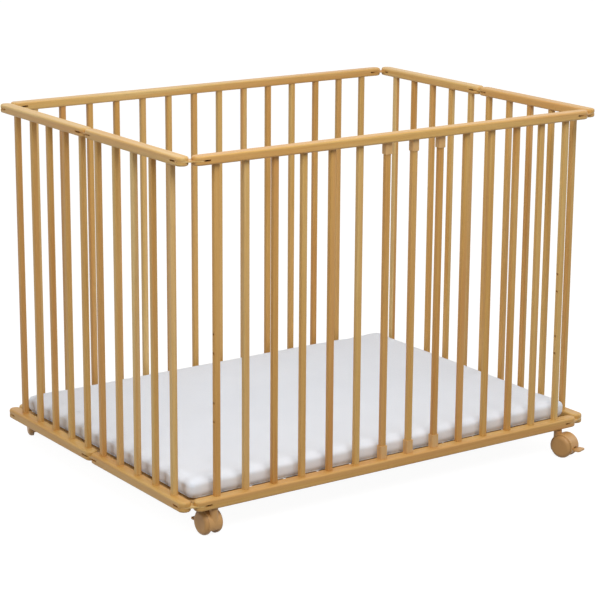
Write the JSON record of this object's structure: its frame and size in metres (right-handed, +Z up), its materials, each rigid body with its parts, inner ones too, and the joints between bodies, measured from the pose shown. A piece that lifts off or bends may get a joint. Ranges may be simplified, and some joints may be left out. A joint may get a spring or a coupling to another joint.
{
  "type": "playpen",
  "caption": "Folding wooden playpen on casters: slatted sides whose short ends fold inward, lift-out slip bars, and a soft floor pad on a lift-out slatted base.",
  "frame": {"origin": "on the floor under the middle of the frame", "axes": "+X along the long sides, +Y from the front side to the rear side, +Z up; the front side has the slip bars"},
  "size_m": [1.04, 0.8422, 0.76],
  "materials": {
    "beech": "satin lacquer",
    "hinge_wood": "satin lacquer",
    "lath_wood": "raw",
    "steel": "zinc plated",
    "ledge_steel": "zinc plated",
    "sleeve_plastic": "moulded",
    "caster_plastic": "moulded",
    "wheel_plastic": "moulded",
    "webbing": "woven",
    "pad_fabric": "woven cotton cover over foam"
  },
  "bodies": {
    "front_panel": {"front_top_rail": "beech", "front_bottom_rail": "beech", "front_slats": "beech", "front_base_ledge": "ledge_steel", "front_ledge_screws": "steel", "front_caster_sockets": "caster_plastic", "slip_bar_top_sleeves": "sleeve_plastic", "slip_bar_bottom_sleeves": "sleeve_plastic"},
    "rear_panel": {"rear_top_rail": "beech", "rear_bottom_rail": "beech", "rear_slats": "beech", "rear_base_ledge": "ledge_steel", "rear_ledge_screws": "steel", "rear_caster_sockets": "caster_plastic"},
    "left_near_half": {"left_near_top_rail": "beech", "left_near_bottom_rail": "beech", "left_near_slats": "beech", "front_left_link_plates": "hinge_wood", "front_left_link_pins": "steel"},
    "left_far_half": {"left_far_top_rail": "beech", "left_far_bottom_rail": "beech", "left_far_slats": "beech", "rear_left_link_plates": "hinge_wood", "rear_left_link_pins": "steel"},
    "left_mid_link": {"left_mid_link_plates": "hinge_wood", "left_mid_link_pins": "steel"},
    "right_near_half": {"right_near_top_rail": "beech", "right_near_bottom_rail": "beech", "right_near_slats": "beech", "front_right_link_plates": "hinge_wood", "front_right_link_pins": "steel"},
    "right_far_half": {"right_far_top_rail": "beech", "right_far_bottom_rail": "beech", "right_far_slats": "beech", "rear_right_link_plates": "hinge_wood", "rear_right_link_pins": "steel"},
    "right_mid_link": {"right_mid_link_plates": "hinge_wood", "right_mid_link_pins": "steel"},
    "slip_bar_1": {"slip_bar_1": "beech"},
    "slip_bar_2": {"slip_bar_2": "beech"},
    "slip_bar_3": {"slip_bar_3": "beech"},
    "caster_front_left": {"caster_front_left_housing": "caster_plastic", "caster_front_left_stem_and_axle": "steel"},
    "wheels_front_left": {"caster_front_left_wheels": "wheel_plastic"},
    "brake_front_left": {"caster_front_left_brake_lever": "caster_plastic"},
    "caster_front_right": {"caster_front_right_housing": "caster_plastic", "caster_front_right_stem_and_axle": "steel"},
    "wheels_front_right": {"caster_front_right_wheels": "wheel_plastic"},
    "brake_front_right": {"caster_front_right_brake_lever": "caster_plastic"},
    "caster_rear_left": {"caster_rear_left_housing": "caster_plastic", "caster_rear_left_stem_and_axle": "steel"},
    "wheels_rear_left": {"caster_rear_left_wheels": "wheel_plastic"},
    "caster_rear_right": {"caster_rear_right_housing": "caster_plastic", "caster_rear_right_stem_and_axle": "steel"},
    "wheels_rear_right": {"caster_rear_right_wheels": "wheel_plastic"},
    "base": {"base_laths": "lath_wood", "base_tapes": "webbing"},
    "pad": {"pad": "pad_fabric"}
  },
  "joints": [
    {"name": "front_left_corner_turn", "type": "hinge", "parent": "front_panel", "child": "left_near_half", "pos_m": [-0.4763, -0.3665, 0.4], "axis": [0, 0, -1], "range_deg": [0, 90]},
    {"name": "left_mid_link_turn", "type": "hinge", "parent": "left_near_half", "child": "left_mid_link", "pos_m": [-0.5065, -0.0151, 0.4], "axis": [0, 0, -1], "range_deg": [-90, 0]},
    {"name": "left_far_half_turn", "type": "hinge", "parent": "left_mid_link", "child": "left_far_half", "pos_m": [-0.5065, 0.0151, 0.4], "axis": [0, 0, -1], "range_deg": [-90, 0]},
    {"name": "rear_left_corner_turn", "type": "hinge", "parent": "left_far_half", "child": "rear_panel", "pos_m": [-0.4763, 0.3665, 0.4], "axis": [0, 0, -1], "range_deg": [0, 90]},
    {"name": "front_right_corner_turn", "type": "hinge", "parent": "front_panel", "child": "right_near_half", "pos_m": [0.4763, -0.3665, 0.4], "axis": [0, 0, 1], "range_deg": [0, 90]},
    {"name": "right_mid_link_turn", "type": "hinge", "parent": "right_near_half", "child": "right_mid_link", "pos_m": [0.5065, -0.0151, 0.4], "axis": [0, 0, 1], "range_deg": [-90, 0]},
    {"name": "right_far_half_turn", "type": "hinge", "parent": "right_mid_link", "child": "right_far_half", "pos_m": [0.5065, 0.0151, 0.4], "axis": [0, 0, 1], "range_deg": [-90, 0]},
    {"name": "base_lift", "type": "slide", "parent": "front_panel", "child": "base", "axis": [0, 0, 1], "range_m": [0, 0.75], "deforming": ["base_laths", "base_tapes", "pad"]},
    {"name": "pad_lift", "type": "slide", "parent": "base", "child": "pad", "axis": [0, 0, 1], "range_m": [0, 0.7]},
    {"name": "slip_bar_1_lift", "type": "slide", "parent": "front_panel", "child": "slip_bar_1", "axis": [0, 0, 1], "range_m": [0, 0.012]},
    {"name": "slip_bar_2_lift", "type": "slide", "parent": "front_panel", "child": "slip_bar_2", "axis": [0, 0, 1], "range_m": [0, 0.012]},
    {"name": "slip_bar_3_lift", "type": "slide", "parent": "front_panel", "child": "slip_bar_3", "axis": [0, 0, 1], "range_m": [0, 0.012]},
    {"name": "front_left_swivel", "type": "hinge", "parent": "front_panel", "child": "caster_front_left", "pos_m": [-0.446, -0.3665, 0.06], "axis": [0, 0, 1], "continuous": true},
    {"name": "front_left_wheel_spin", "type": "hinge", "parent": "caster_front_left", "child": "wheels_front_left", "pos_m": [-0.44663, -0.34851, 0.025], "axis": [-0.9994, -0.0349, 0], "continuous": true},
    {"name": "front_left_brake_press", "type": "hinge", "parent": "caster_front_left", "child": "brake_front_left", "pos_m": [-0.44736, -0.32752, 0.022], "axis": [-0.9994, -0.0349, 0], "range_deg": [0, 18]},
    {"name": "front_right_swivel", "type": "hinge", "parent": "front_panel", "child": "caster_front_right", "pos_m": [0.446, -0.3665, 0.06], "axis": [0, 0, 1], "continuous": true},
    {"name": "front_right_wheel_spin", "type": "hinge", "parent": "caster_front_right", "child": "wheels_front_right", "pos_m": [0.45156, -0.38362, 0.025], "axis": [0.9511, 0.309, 0], "continuous": true},
    {"name": "front_right_brake_press", "type": "hinge", "parent": "caster_front_right", "child": "brake_front_right", "pos_m": [0.45805, -0.40359, 0.022], "axis": [0.9511, 0.309, 0], "range_deg": [0, 18]},
    {"name": "rear_left_swivel", "type": "hinge", "parent": "rear_panel", "child": "caster_rear_left", "pos_m": [-0.446, 0.3665, 0.06], "axis": [0, 0, 1], "continuous": true},
    {"name": "rear_left_wheel_spin", "type": "hinge", "parent": "caster_rear_left", "child": "wheels_rear_left", "pos_m": [-0.43984, 0.38341, 0.025], "axis": [-0.9397, 0.342, 0], "continuous": true},
    {"name": "rear_right_swivel", "type": "hinge", "parent": "rear_panel", "child": "caster_rear_right", "pos_m": [0.446, 0.3665, 0.06], "axis": [0, 0, 1], "continuous": true},
    {"name": "rear_right_wheel_spin", "type": "hinge", "parent": "caster_rear_right", "child": "wheels_rear_right", "pos_m": [0.4281, 0.36838, 0.025], "axis": [-0.1045, -0.9945, 0], "continuous": true}
  ],
  "couplings": [
    {"joint": "front_left_corner_turn", "follows": "base_lift", "rad_per_m": 2.0944},
    {"joint": "left_mid_link_turn", "follows": "base_lift", "rad_per_m": -2.0944},
    {"joint": "left_far_half_turn", "follows": "base_lift", "rad_per_m": -2.0944},
    {"joint": "rear_left_corner_turn", "follows": "base_lift", "rad_per_m": 2.0944},
    {"joint": "front_right_corner_turn", "follows": "base_lift", "rad_per_m": 2.0944},
    {"joint": "right_mid_link_turn", "follows": "base_lift", "rad_per_m": -2.0944},
    {"joint": "right_far_half_turn", "follows": "base_lift", "rad_per_m": -2.0944}
  ]
}
